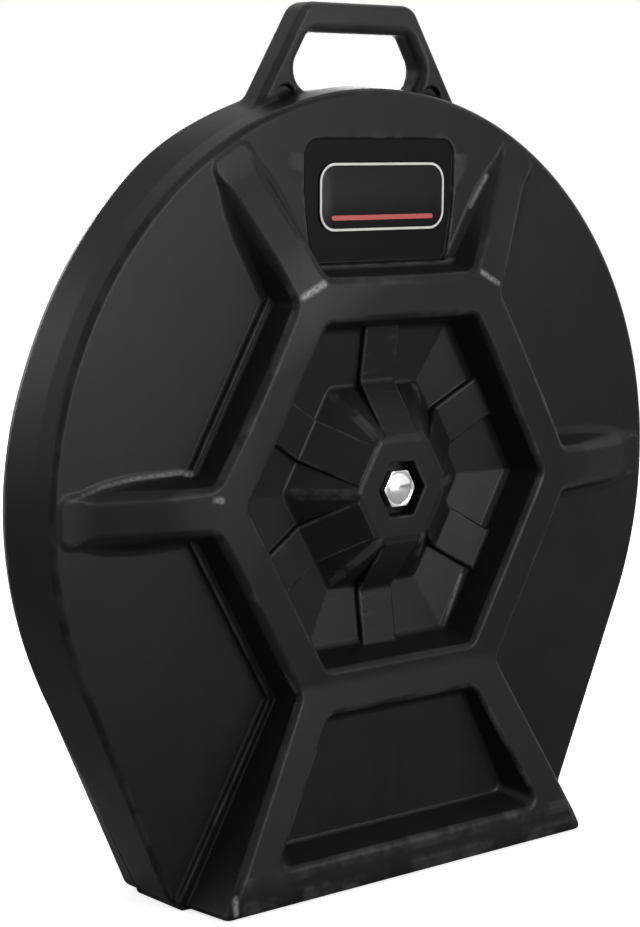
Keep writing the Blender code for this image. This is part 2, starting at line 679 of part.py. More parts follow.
def spindle_bolt():
    """A bolt with a hexagon head and a low dome on it."""
    seat = RECESS_FLOOR_Y - GAP
    face = seat - HEAD_HEIGHT
    head = loft("spindle_bolt", [
        at_depth(hexagon(HEAD_RADIUS - HEAD_EDGE), face),
        at_depth(hexagon(HEAD_RADIUS), face + HEAD_EDGE),
        at_depth(hexagon(HEAD_RADIUS), seat),
    ], CHROME)
    rings = [at_depth(circle(DOME_RADIUS), face + HEAD_EDGE)]
    for step in range(TOE_STEPS):
        angle = pi / 2 * step / TOE_STEPS
        rings.append(at_depth(circle(DOME_RADIUS * cos(angle)), face - DOME_HEIGHT * sin(angle)))
    join(head, loft("dome_form", rings))
    end = knob_places()["cap_front"] - SHAFT_SHORT_OF_CAP
    join(head, loft("shaft_form", [
        at_depth(circle(SHAFT_RADIUS), seat - HEAD_HEIGHT / 2),
        at_depth(circle(SHAFT_RADIUS), end - SHAFT_TIP),
        at_depth(circle(SHAFT_RADIUS - SHAFT_TIP), end),
    ]))
    return head


def stack(first, thicknesses):
    """The fronts of pieces laid one behind another with the touching gap, and where the next one would go."""
    fronts = []
    y = first
    for thickness in thicknesses:
        fronts.append(y)
        y += thickness + GAP
    return fronts, y


def inner_hardware():
    """What holds the spindle and the cymbals inside the case."""
    thicknesses = [LOCK_WASHER_THICKNESS, LOCK_NUT_HEIGHT, CUP_THICKNESS]
    fronts, felt_start = stack(RECESS_FLOOR_Y + WALL + GAP, thicknesses)
    washer_y, nut_y, cup_y = fronts
    ring_solid("lock_washer", LOCK_WASHER_RADIUS, BORE_RADIUS, washer_y, washer_y + LOCK_WASHER_THICKNESS, ZINC)
    nut = prism("lock_nut", hexagon(LOCK_NUT_RADIUS), nut_y, nut_y + LOCK_NUT_HEIGHT, ZINC)
    cut(nut, prism("nut_bore", circle(BORE_RADIUS), nut_y - OVERRUN, nut_y + LOCK_NUT_HEIGHT + OVERRUN))
    ring_solid("cup_washer", CUP_RADIUS, BORE_RADIUS, cup_y, cup_y + CUP_THICKNESS, ZINC)
    felts, clamp_y = stack(felt_start, [FELT_THICKNESS] * FELT_COUNT)
    sleeve_radius = BORE_RADIUS + SLEEVE_WALL
    ring_solid("spindle_sleeve", sleeve_radius, BORE_RADIUS, felt_start, clamp_y - GAP, SLEEVE_PLASTIC)
    felt_bore = sleeve_radius + BORE_CLEARANCE
    for number, y in enumerate(felts, 1):
        ring_solid(f"felt_pad_{number}", FELT_RADIUS, felt_bore, y, y + FELT_THICKNESS, FELT)
    clamp = ring_solid("clamp_washer", CLAMP_RADIUS, BORE_RADIUS, clamp_y, clamp_y + CLAMP_THICKNESS, ZINC)
    return clamp, wing_nut(clamp_y + CLAMP_THICKNESS + GAP)


def wing_nut(front):
    back = front + WING_HUB_HEIGHT
    nut = prism("wing_nut", circle(WING_HUB_RADIUS), front, back, ZINC)
    middle = (front + back) / 2
    half = WING_HALF_THICKNESS
    tip = WING_TIP_HALF_HEIGHT
    rings = []
    for along, half_height in ((-WING_REACH, tip), (0, WING_HUB_HEIGHT / 2 - GAP), (WING_REACH, tip)):
        section = ((half, middle - half_height), (half, middle + half_height),
                   (-half, middle + half_height), (-half, middle - half_height))
        rings.append([turned_about(0, along, across, y) for across, y in section])
    join(nut, loft("wings_form", rings))
    cut(nut, prism("wing_bore", circle(BORE_RADIUS), front - OVERRUN, back + OVERRUN))
    return nut


def knob_places():
    """The depths of the rear hardware."""
    fronts, _ = stack(HUB_FLOOR_Y + GAP, [REAR_WASHER_THICKNESS, KNOB_HEIGHT])
    washer_y, knob_y = fronts
    knob_back = knob_y + KNOB_HEIGHT
    return {"washer": washer_y, "knob": knob_y, "knob_back": knob_back, "cap_front": knob_back - CAP_HEIGHT}


def rear_hardware():
    places = knob_places()
    washer_y = places["washer"]
    ring_solid("rear_washer", REAR_WASHER_RADIUS, BORE_RADIUS, washer_y, washer_y + REAR_WASHER_THICKNESS, ZINC)
    front = places["knob"]
    back = places["knob_back"]

    def lobed(radius):
        points = []
        steps = TURN_STEPS * 2
        for step in range(steps):
            angle = 2 * pi * step / steps
            here = radius - KNOB_WAVE * (1 - cos(KNOB_LOBES * angle)) / 2
            points.append((here * cos(angle), here * sin(angle)))
        return points

    knob = loft("hand_knob", [
        at_depth(lobed(KNOB_RADIUS - KNOB_EDGE), front),
        at_depth(lobed(KNOB_RADIUS), front + KNOB_EDGE),
        at_depth(lobed(KNOB_RADIUS), back - KNOB_EDGE),
        at_depth(lobed(KNOB_RADIUS - KNOB_EDGE), back),
    ], KNOB_PLASTIC)
    insert_back = front + INSERT_HEIGHT
    cap_front = places["cap_front"]
    cut(knob, prism("insert_seat", circle(INSERT_RADIUS + GAP), front - OVERRUN, cap_front + GAP))
    cut(knob, prism("cap_seat", circle(CAP_RADIUS + GAP), cap_front - GAP, back + OVERRUN))
    ring_solid("knob_insert", INSERT_RADIUS, BORE_RADIUS, front, insert_back, BRASS)
    prism("knob_cap", circle(CAP_RADIUS), cap_front, back, KNOB_PLASTIC)
    return knob


front_shell()
rear_shell()
label_plate()
spindle_bolt()
inner_hardware()
rear_hardware()
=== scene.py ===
"""Looks of the round cymbal case: its moulded shells as smooth surfaces, its label, hardware and felts,
their materials, and a studio with the photograph's view."""

import math
from concurrent.futures import ThreadPoolExecutor

import bmesh
import bpy
import numpy as np
from mathutils import Matrix, Vector

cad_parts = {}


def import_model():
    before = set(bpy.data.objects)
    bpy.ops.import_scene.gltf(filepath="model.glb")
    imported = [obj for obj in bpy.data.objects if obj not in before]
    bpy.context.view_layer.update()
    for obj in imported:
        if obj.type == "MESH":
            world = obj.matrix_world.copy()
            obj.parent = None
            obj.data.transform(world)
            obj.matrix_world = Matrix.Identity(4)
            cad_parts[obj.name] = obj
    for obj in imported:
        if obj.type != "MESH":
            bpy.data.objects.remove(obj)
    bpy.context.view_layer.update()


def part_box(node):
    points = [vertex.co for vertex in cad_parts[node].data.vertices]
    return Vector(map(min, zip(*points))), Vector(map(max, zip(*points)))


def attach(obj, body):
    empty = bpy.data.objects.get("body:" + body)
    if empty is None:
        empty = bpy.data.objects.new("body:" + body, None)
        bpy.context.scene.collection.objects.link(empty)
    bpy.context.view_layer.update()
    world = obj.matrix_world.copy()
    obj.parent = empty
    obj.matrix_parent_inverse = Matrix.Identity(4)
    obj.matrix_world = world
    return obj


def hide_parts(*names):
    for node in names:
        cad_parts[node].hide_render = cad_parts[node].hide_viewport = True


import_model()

# The moulded forms are worked out in millimetres: x to the right, d behind the hexagon ring's face, h above
# the spindle. These two give the row's frame.
RING_Y = -42.45
BASE_DROP = 301.9

# Body
FACE_D = 30.0
FRONT_RADIUS = 305.5
PARTING_RADIUS = 310.5
PARTING_D = 81.0
RIM_FILLET = 5.0
BASE_HALF_FRONT = 200.0
BASE_HALF_BACK = 194.5
CORNER = 12.0
WALL = 5.0
SEAM = 0.15  # half the gap between the shells

# Hexagon ring, ledge, well
RING_APOTHEM = 163.85
RING_DRAFT = 5.8 / 25
LEDGE_D = 25.0
LEDGE_APOTHEM = 174.5
LEDGE_DRAFT = 0.21
WELL_APOTHEM = 131.8
WELL_DRAFT = 8.4 / 31.5
WELL_D = 31.5
DISH = 6.5
WELL_FOOT = 123.4
BOSS_FOOT = 77.5
COS30 = math.cos(math.pi / 6)

# Boss with its bolt's recess
BOSS_D = 2.0
BOSS_APOTHEM = 40.1
BOSS_CORNERS = 45.6
BAND_APOTHEM = 41.0
SPOKE_HALF = 17.5
SPOKE_HEIGHT = 5.0
SPOKE_END = 133.0
RECESS_APOTHEM = 20.8
RECESS_D = 15.0

# Ribs: each falls from the ring's face to the panel, and its foot narrows towards its end
RIB_ROOT = 110.0
RIB_START = 181.0
RIB_FALL = 0.27
RIB_HALF = 16.5
RIB_FOOT_HALF = 24.8
RIB_NARROWS = 225.0
RIB_RUN_OUT = 76.0
RIB_END = 297.0

# Foot with its pocket
FOOT_LEVEL = 142.0  # this far below the spindle the foot's face is level with the ring's
FOOT_LEAN = 0.1335
FOOT_TOE_D = -19.0
FOOT_START = 140.0
FOOT_FACE_START = 120.0
FOOT_HEIGHT = 138.05
FOOT_HALF = 112.7
FOOT_SPREAD = 76.7
FOOT_LEDGE_HALF = 119.9
FOOT_LEDGE_SPREAD = 82.8
POCKET_D = 11.0
POCKET_TOP = 173.0
POCKET_LOW = 263.7
POCKET_HALF = 75.7

# Label pocket
LABEL_D = 32.2
LABEL_HALF = 76.0
LABEL_LOW_HALF = 68.6
LABEL_SPREAD = 0.16
LABEL_LOW = 174.0
LABEL_TOP = 266.8

# Handle, its grip, and the two arched recesses at its roots
HANDLE_TOP = 369.5
HANDLE_HALF = 54.4
HANDLE_D = 66.5
HANDLE_HALF_DEPTH = 12.5
GRIP_TOP = 346.5
GRIP_HALF = 50.6
GRIP_LOW = 304.0
GRIP_LOW_HALF = 55.9
ARCH_X = 74.5
ARCH_H = 299.0
ARCH_RADIUS = 8.6
ARCH_D = 58.5

# Rear shell, with its step and the knob's hub
LID_D = 102.0
HUB_RADIUS = 44.0
HUB_D = 84.0
STEP_APOTHEM = 164.5
STEP_D = 99.0
LIP = 10.0  # how far the rear shell's lip reaches into the front shell

BORE = 5.4  # radius of the holes for the spindle


def both(a, b, r=0.0):
    """The shape inside both distances, with a rounded edge."""
    top = np.maximum(a, b)
    if np.isscalar(r) and r == 0:
        return top
    u = np.maximum(a + r, 0)
    v = np.maximum(b + r, 0)
    return np.minimum(top, -r) + np.sqrt(u * u + v * v)


def either(a, b, r=0.0):
    """The shape inside either distance, with a rounded hollow where they meet."""
    return -both(-a, -b, r)


def less(a, b, r=0.0):
    """The first shape without the second."""
    return both(a, -b, r)


def axis(x, h, degrees):
    """How far a point lies along a direction in the case's plane, and across it."""
    a = math.radians(degrees)
    return x * math.cos(a) + h * math.sin(a), h * math.cos(a) - x * math.sin(a)


def hexagon(x, h, apothem=0.0, r=0.0):
    """The distance from a hexagon with a level side above."""
    side = abs(x) * COS30 - apothem
    return both(both(side + h / 2, side - h / 2, r), abs(h) - apothem, r)


def grip_dip(x, h):
    """How much lower the rim is under the grip."""
    share = np.clip((66.0 - abs(x)) / 18.0, 0, 1) * (h > 0)
    return 5.0 * share * share * (3 - 2 * share)


def shoulder(x, h):
    """How much wider the rim's rear edge is at the shoulders, and narrower below them."""
    angle = np.degrees(np.arctan2(h, abs(x) + 1e-6))
    return 3.4 * np.exp(-((angle - 55.0) / 11.0) ** 2) - 2.2 * np.exp(-((angle - 22.0) / 13.0) ** 2)


def outline(x, h, radius, half):
    """The case's outline without its flat base: an arc and two tangents to the base's corners."""
    reach = np.hypot(BASE_DROP, half)
    start = np.arccos(radius / reach) - np.arctan2(BASE_DROP, half)
    c, s = np.cos(start), np.sin(start)
    side = abs(x)
    return np.where(h * c >= side * s, np.hypot(x, h), side * c + h * s) - radius


def front_outline(x, d, h):
    """The outline at each depth: it widens towards the parting line, and its base narrows."""
    radius = FRONT_RADIUS + (PARTING_RADIUS - FRONT_RADIUS) * (d - FACE_D - 8.0) / (PARTING_D - FACE_D - 8.0)
    radius = radius - grip_dip(x, h) * np.clip((d - 52.0) / 10.0, 0, 1)
    radius = radius + shoulder(x, h) * np.clip((d - 50.0) / 31.0, 0, 1)
    half = BASE_HALF_FRONT + (BASE_HALF_BACK - BASE_HALF_FRONT) * (d - FACE_D) / (PARTING_D - FACE_D)
    return outline(x, h, radius, half)


def sector(x, h):
    """A point's place along and across the nearest of the six directions to the hexagon's sides."""
    best_u = best_v = None
    for degrees in (30, 90, 150):
        u, v = axis(x, h, degrees)
        u, v = abs(u), abs(v)
        if best_u is None:
            best_u, best_v = u, v
        else:
            nearer = u > best_u
            best_u, best_v = np.where(nearer, u, best_u), np.where(nearer, v, best_v)
    return best_u, best_v


def front_form(x, d, h, dressed=True):
    """The front shell's outer surface without its handle. Undressed, it lacks the spokes and bands, as inside.

    Factors below 1, such as 0.974, make a distance across a slanted face the true one.
    """
    # body
    body = both(both(front_outline(x, d, h), -h - BASE_DROP, CORNER), FACE_D - d, RIM_FILLET)
    near_d = np.minimum(d, FACE_D + 1.0)
    # ring and ribs in plan, one top for both, then the foot
    side = hexagon(x, h, RING_APOTHEM + RING_DRAFT * d, 3.0) * 0.974
    along = None
    for degrees in (0, 60, 120, 180):
        u, v = axis(x, h, degrees)
        fall = np.maximum(u - RIB_START, 0) * RIB_FALL
        run_out = np.maximum(u - RIB_NARROWS, 0) / RIB_RUN_OUT
        foot_half = RIB_FOOT_HALF * np.sqrt(np.maximum(1 - run_out**2, 0.02))
        lean = np.clip((foot_half - RIB_HALF) / np.maximum(FACE_D - fall, 2.5), 0.2, 1.0)
        rib = (abs(v) - RIB_HALF - lean * (near_d - fall)) / np.sqrt(1 + lean * lean)
        rib = both(both(rib, u - RIB_END, 6.0), RIB_ROOT - u)
        side = either(side, rib, 4.0)
        along = u if along is None else np.maximum(along, u)
    rib_fall = (along - RIB_START) * RIB_FALL
    rib_share = np.clip((along - 178.0) / 15.0, 0, 1)  # 0 on the ring, 1 on the ribs
    top = both(-d, (rib_fall - d) * 0.965, 10.0)
    face_d = FOOT_LEAN * (h + FOOT_LEVEL)
    foot = both((face_d - d) * 0.991, h + FOOT_FACE_START)
    share = (near_d - face_d) / (FACE_D - face_d)
    low = (-h - RING_APOTHEM) / FOOT_HEIGHT
    half = FOOT_HALF + FOOT_SPREAD * low + share * (0.9 + 3.6 * low)
    foot_side = both(both((abs(x) - half) * 0.874, -h - BASE_DROP, 7.0), h + FOOT_START)
    side = either(side, foot_side, 3.0)
    top = both(either(top, foot, 0.4), FOOT_TOE_D - d, 1.5)
    star = both(side, top, np.clip(FACE_D - rib_fall, 1.5, 5.5))
    form = either(body, star, 2.5 + 2.5 * rib_share)
    # ledge at the foot of the ring and of the foot's sides
    ring_ledge = hexagon(x, h, LEDGE_APOTHEM + LEDGE_DRAFT * (d - LEDGE_D), 3.0)
    foot_ledge = (abs(x) - FOOT_LEDGE_HALF - FOOT_LEDGE_SPREAD * low - LEDGE_DRAFT * (near_d - LEDGE_D)) * 0.857
    foot_ledge = both(foot_ledge, h + FOOT_START)
    ledge = both(either(ring_ledge, foot_ledge, 2.0), LEDGE_D - d, 1.2)
    form = either(form, both(ledge, front_outline(x, d * 0 + FACE_D, h) + 4.0, 2.0), 1.6)
    # well, boss and spokes
    across = hexagon(x, h)
    floor = WELL_D + DISH * (WELL_FOOT - across) / (WELL_FOOT - BOSS_FOOT)
    well = both(hexagon(x, h, WELL_APOTHEM - WELL_DRAFT * d, 3.0) * 0.966, (d - floor) * 0.99, 4.0)
    form = less(form, well, 4.5)
    core = (across - BOSS_APOTHEM - 1.058 * (d - BOSS_D)) * 0.687
    bevel = None
    for degrees in (0, 60, 120):
        u = abs(axis(x, h, degrees)[0])
        bevel = u if bevel is None else np.maximum(bevel, u)
    core = both(core, (bevel - BOSS_CORNERS - 1.215 * (d - BOSS_D)) * 0.636, 1.0)
    core = both(core, BOSS_D - d, 3.0)
    if dressed:
        u, v = sector(x, h)
        spoke_floor = WELL_D + DISH * (WELL_FOOT - u) / (WELL_FOOT - BOSS_FOOT)
        spoke = (spoke_floor - SPOKE_HEIGHT - d) * 0.99
        band = (u - BAND_APOTHEM - 1.339 * (d - BOSS_D)) * 0.598
        bar = both(either(spoke, band, 1.2), v - SPOKE_HALF, 1.8)
        bar = both(bar, np.maximum(u - SPOKE_END, BOSS_D + 0.6 - d))
        core = either(core, bar, 0.9)
    form = either(form, core, 1.6)
    form = less(form, both(hexagon(x, h, RECESS_APOTHEM, 1.0), d - RECESS_D, 1.0), 1.6)
    # foot pocket
    rise = POCKET_D - d
    pocket_side = (abs(x) - POCKET_HALF + 0.54 * (h + POCKET_TOP) - 0.3 * rise) * 0.85
    pocket = both((h + POCKET_TOP - 0.563 * rise) * 0.871, pocket_side, 5.0)
    pocket = both(pocket, (-h - POCKET_LOW - 0.296 * rise) * 0.96, 13.0)
    form = less(form, both(pocket, d - POCKET_D, 2.5), 3.2)
    # label pocket
    flare = 0.24 * (LABEL_D - d)
    plate_side = (abs(x) - LABEL_LOW_HALF - LABEL_SPREAD * (h - LABEL_LOW)) * 0.987
    plate = both(abs(x) - LABEL_HALF, plate_side, 2.0)
    plate = both(both(plate, h - LABEL_TOP, 12.0), LABEL_LOW - h, 7.0) - flare
    return less(form, both(plate, d - LABEL_D, 0.8), 1.3)


def handle_form(x, d, h):
    """The handle with its grip, down to well inside the body."""
    outer = both(h - HANDLE_TOP, (abs(x) - HANDLE_HALF - 0.61 * (HANDLE_TOP - h)) * 0.854, 8.0)
    outer = both(outer, abs(d - HANDLE_D) - HANDLE_HALF_DEPTH, 5.5)
    grip = both(h - GRIP_TOP, (abs(x) - GRIP_HALF - 0.6 * (GRIP_TOP - h)) * 0.857, 3.0)
    grip = both(grip, (abs(x) - GRIP_LOW_HALF - (h - GRIP_LOW)) * 0.707, 12.0)
    handle = less(outer, grip, 8.0)
    arm = abs(abs(x) - ARCH_X)
    arch = np.where(h > ARCH_H, np.hypot(arm, h - ARCH_H), arm) - ARCH_RADIUS
    return less(both(handle, 240.0 - h), both(arch, d - ARCH_D, 2.0), 2.0)


def spindle_hole(x, h):
    return BORE - np.hypot(x, h)


def front_shell(x, d, h):
    """The whole front shell with its handle, hollow inside and open behind."""
    shell = either(front_form(x, d, h), handle_form(x, d, h), 5.0)
    base = -h - BASE_DROP
    shell = both(shell, base, 2.2)
    shell = both(shell, d - PARTING_D + SEAM, 0.8)
    inside = both(front_form(x, d, h, False), base, 3.5) + WALL
    return both(less(shell, inside, 0.6), spindle_hole(x, h), 0.4)


def lid_form(x, d, h):
    """The rear shell's outer surface. Its rim narrows by half a millimetre for each millimetre of depth."""
    radius = PARTING_RADIUS - 5.5 * np.clip((d - PARTING_D) / 11.0, 0, 2) - grip_dip(x, h) + shoulder(x, h)
    form = both(both(outline(x, h, radius, BASE_HALF_BACK), -h - BASE_DROP + 1.5, 5.0), d - LID_D, 8.0)
    rho = np.hypot(x, h)
    hub = both((rho - HUB_RADIUS - (d - HUB_D) / 3) * 0.949, HUB_D - d, 3.0)
    form = less(form, hub, 3.0)
    step = both((hexagon(x, h, STEP_APOTHEM, 6.0) + LID_D - d) * 0.707, STEP_D - d, 1.2)
    return less(form, step, 1.8)


def rear_shell(x, d, h):
    """The whole rear shell, with the lip that enters the front shell."""
    form = lid_form(x, d, h)
    shell = both(less(form, form + WALL), PARTING_D + SEAM - d, 0.8)
    edge = both(front_outline(x, d * 0 + PARTING_D - LIP, h), -h - BASE_DROP, 3.5)
    lip = both(both(edge + 5.6, -edge - 9.6), np.maximum(PARTING_D - LIP - d, d - PARTING_D - 4.0), 0.6)
    return both(either(shell, lip, 1.0), spindle_hole(x, h), 0.4)


def in_threads(work, count, size=60000):
    """Runs work on slices of a range, side by side, and returns the results in order."""
    slices = [slice(start, min(start + size, count)) for start in range(0, count, size)]
    with ThreadPoolExecutor(4) as pool:
        return np.concatenate(list(pool.map(work, slices)))


def distances(form, points):
    return in_threads(lambda part: form(*points[part].T), len(points))


def slopes(form, points, reach=0.25):
    """The distance, its gradient and its bend at each point."""
    def work(part):
        p = points[part]
        middle = form(*p.T)
        steps = []
        total = -6 * middle
        for k in range(3):
            pair = []
            for sign in (-1, 1):
                q = p.copy()
                q[:, k] += sign * reach
                pair.append(form(*q.T))
            steps.append((pair[1] - pair[0]) / (2 * reach))
            total = total + pair[0] + pair[1]
        return np.stack([middle, *steps, total / reach**2], 1)
    return in_threads(work, len(points), 20000)


def settle(form, points, rounds=2):
    """Moves points onto the form's surface."""
    for _ in range(rounds):
        found = slopes(form, points)
        slope = found[:, 1:4]
        size = np.maximum((slope * slope).sum(1), 0.3)
        step = np.clip(found[:, 0] / size, -1.5, 1.5)
        points = points - slope * step[:, None]
    return points


def surface_net(form, low, high, cell):
    """Corners and four-sided faces of a form's surface on a grid of that cell size."""
    low, high = np.array(low, float), np.array(high, float)
    block = 4
    size = [int(math.ceil((high[k] - low[k]) / (cell * block))) * block + 1 for k in range(3)]
    # blocks near the surface
    middles = [low[k] + (np.arange((size[k] - 1) // block) + 0.5) * cell * block for k in range(3)]
    grid = np.stack(np.meshgrid(*middles, indexing="ij"), -1).reshape(-1, 3).astype(np.float32)
    near = abs(distances(form, grid)) < cell * block * 0.95 + 2.5
    near = near.reshape([len(m) for m in middles])
    keep = np.zeros(size, bool)
    for shift in np.ndindex(2, 2, 2):
        part = tuple(slice(s, s + n * block) for s, n in zip(shift, near.shape))
        keep[part] |= near.repeat(block, 0).repeat(block, 1).repeat(block, 2)
    where = np.argwhere(keep)
    value = np.full(size, 1e3, np.float32)
    value[keep] = distances(form, (low + where * cell).astype(np.float32))
    inside = value < 0
    # cells that the surface crosses, and their corners
    cells = [n - 1 for n in size]
    total = np.zeros(cells, np.uint8)
    whole = np.ones(cells, bool)
    for shift in np.ndindex(2, 2, 2):
        part = tuple(slice(s, s + n) for s, n in zip(shift, cells))
        total += inside[part]
        whole &= keep[part]
    crossed = (total > 0) & (total < 8) & whole
    index = np.full(cells, -1, np.int64)
    spots = np.argwhere(crossed)
    index[crossed] = np.arange(len(spots))
    sums = np.zeros((len(spots), 3))
    hits = np.zeros(len(spots))
    faces = []
    for k in range(3):
        others = [a for a in range(3) if a != k]
        for shift in np.ndindex(2, 2):
            start = spots.copy()
            start[:, others[0]] += shift[0]
            start[:, others[1]] += shift[1]
            end = start.copy()
            end[:, k] += 1
            a = value[tuple(start.T)]
            b = value[tuple(end.T)]
            cross = (a < 0) != (b < 0)
            t = a / np.where(cross, a - b, 1)
            spot = start.astype(float)
            spot[:, k] += t
            sums[cross] += spot[cross]
            hits += cross
        # faces round the grid's edges along this axis
        part = [slice(1, -1)] * 3
        part[k] = slice(0, -1)
        after = list(part)
        after[k] = slice(1, None)
        a, b = inside[tuple(part)], inside[tuple(after)]
        edge = np.argwhere(a != b)
        starts_inside = a[tuple(edge.T)]
        edge[:, others[0]] += 1
        edge[:, others[1]] += 1
        ring = []
        for shift in ((0, 0), (1, 0), (1, 1), (0, 1)):
            place = edge.copy()
            place[:, others[0]] -= shift[0]
            place[:, others[1]] -= shift[1]
            ring.append(index[tuple(place.T)])
        ring = np.stack(ring, 1)
        flip = starts_inside != (k == 1)
        ring[~flip] = ring[~flip][:, ::-1]
        faces.append(ring[(ring >= 0).all(1)])
    return low + sums / hits[:, None] * cell, np.concatenate(faces)


def refine(points, tris, normals, shown, longest, bend):
    """Splits the edges that are long and where the surface turns.

    Returns the points, the triangles, and how many points it added at the end.
    """
    edges = np.sort(np.concatenate([tris[:, [0, 1]], tris[:, [1, 2]], tris[:, [2, 0]]]), 1)
    key = edges[:, 0] * len(points) + edges[:, 1]
    unique, inverse = np.unique(key, return_inverse=True)
    a, b = unique // len(points), unique % len(points)
    length = np.linalg.norm(points[a] - points[b], axis=1)
    turn = (normals[a] * normals[b]).sum(1)
    split = shown[a] & (length > longest) & (turn < math.cos(math.radians(bend)))
    middle = np.full(len(unique), -1, np.int64)
    middle[split] = len(points) + np.arange(split.sum())
    made = (points[a[split]] + points[b[split]]) / 2
    count = len(tris)
    m = middle[inverse].reshape(3, count).T
    marked = (m >= 0) @ np.array([1, 2, 4])
    out = [tris[marked == 0]]
    for turned in range(3):
        order = [(k + turned) % 3 for k in range(3)]
        v = tris[:, order]
        w = m[:, order]
        one = marked == 1 << order[0]
        p, q = v[one], w[one]
        out += [np.stack([p[:, 0], q[:, 0], p[:, 2]], 1), np.stack([q[:, 0], p[:, 1], p[:, 2]], 1)]
        two = marked == (1 << order[0]) + (1 << order[1])
        p, q = v[two], w[two]
        out += [np.stack([p[:, 1], q[:, 1], q[:, 0]], 1), np.stack([p[:, 0], q[:, 0], q[:, 1]], 1),
                np.stack([p[:, 0], q[:, 1], p[:, 2]], 1)]
    three = marked == 7
    p, q = tris[three], m[three]
    out += [np.stack([p[:, 0], q[:, 0], q[:, 2]], 1), np.stack([q[:, 0], p[:, 1], q[:, 1]], 1),
            np.stack([q[:, 2], q[:, 1], p[:, 2]], 1), q]
    return np.concatenate([points, made]), np.concatenate(out), len(made)


def fine_mesh(form, low, high, cell, longest, passes, seen=None, bend=11):
    """Points, triangles and normals of a form's surface, finer where it turns and where it is seen."""
    points, quads = surface_net(form, low, high, cell)
    points = settle(form, points)
    normals = unit(slopes(form, points)[:, 1:4])
    first = (normals[quads[:, 0]] * normals[quads[:, 2]]).sum(1)
    second = (normals[quads[:, 1]] * normals[quads[:, 3]]).sum(1)
    quads = np.where((first >= second)[:, None], quads, quads[:, [1, 2, 3, 0]])
    tris = np.concatenate([quads[:, [0, 1, 2]], quads[:, [0, 2, 3]]])
    for _ in range(passes):
        shown = np.ones(len(points), bool) if seen is None else seen(points)
        points, tris, made = refine(points, tris, normals, shown, longest, bend)
        points[-made:] = settle(form, points[-made:])
        normals = np.concatenate([normals, unit(slopes(form, points[-made:])[:, 1:4])])
        longest *= 0.6
    a, b, c = (points[tris[:, k]] for k in range(3))
    facing = (np.cross(b - a, c - a) * normals[tris].sum(1)).sum(1)
    if (facing < 0).mean() > 0.5:
        tris = tris[:, ::-1]
    return points, tris, normals


def unit(vectors):
    return vectors / np.maximum(np.linalg.norm(vectors, axis=1), 1e-6)[:, None]


def to_row(points):
    """From millimetres by x, d and h to the row's metres."""
    return (points + (0, RING_Y, BASE_DROP)) / 1000


def new_mesh(name, points, tris):
    made = bpy.data.meshes.new(name)
    made.vertices.add(len(points))
    made.vertices.foreach_set("co", np.ascontiguousarray(points, np.float32).ravel())
    made.loops.add(tris.size)
    made.loops.foreach_set("vertex_index", np.ascontiguousarray(tris, np.int32).ravel())
    made.polygons.add(len(tris))
    made.polygons.foreach_set("loop_start", np.arange(0, tris.size, 3, dtype=np.int32))
    made.update(calc_edges=True)
    return made


def add_object(name, data):
    made = bpy.data.objects.new(name, data)
    bpy.context.scene.collection.objects.link(made)
    return made


def moulded(name, form, low, high, cell, most=None, passes=1, seen=None):
    """An object with a form's surface, its normals, and its bend as an attribute for wear and painted highlights on
    its edges.
    """
    points, tris, normals = fine_mesh(form, low, high, cell, cell * 0.6, passes, seen)
    mesh = new_mesh(name, points, tris)
    made = add_object(name, mesh)
    if most and len(tris) > most:
        thin = made.modifiers.new("decimate", "DECIMATE")
        thin.ratio = most / len(tris)
        bpy.context.view_layer.update()
        lighter = bpy.data.meshes.new_from_object(made.evaluated_get(bpy.context.evaluated_depsgraph_get()))
        made.modifiers.clear()
        made.data = lighter
        bpy.data.meshes.remove(mesh)
        mesh = lighter
        mesh.name = name
        points = np.zeros(len(mesh.vertices) * 3, np.float32)
        mesh.vertices.foreach_get("co", points)
        points = settle(form, points.reshape(-1, 3).astype(float), 1)
        normals = unit(slopes(form, points)[:, 1:4])
    bend = slopes(form, points, 1.5)[:, 4]
    mesh.vertices.foreach_set("co", to_row(points).astype(np.float32).ravel())
    mesh.attributes.new("bend", "FLOAT", "POINT").data.foreach_set("value", bend.astype(np.float32))
    mesh.shade_smooth()
    mesh.normals_split_custom_set_from_vertices(normals)
    mesh.update()
    return made


# Materials


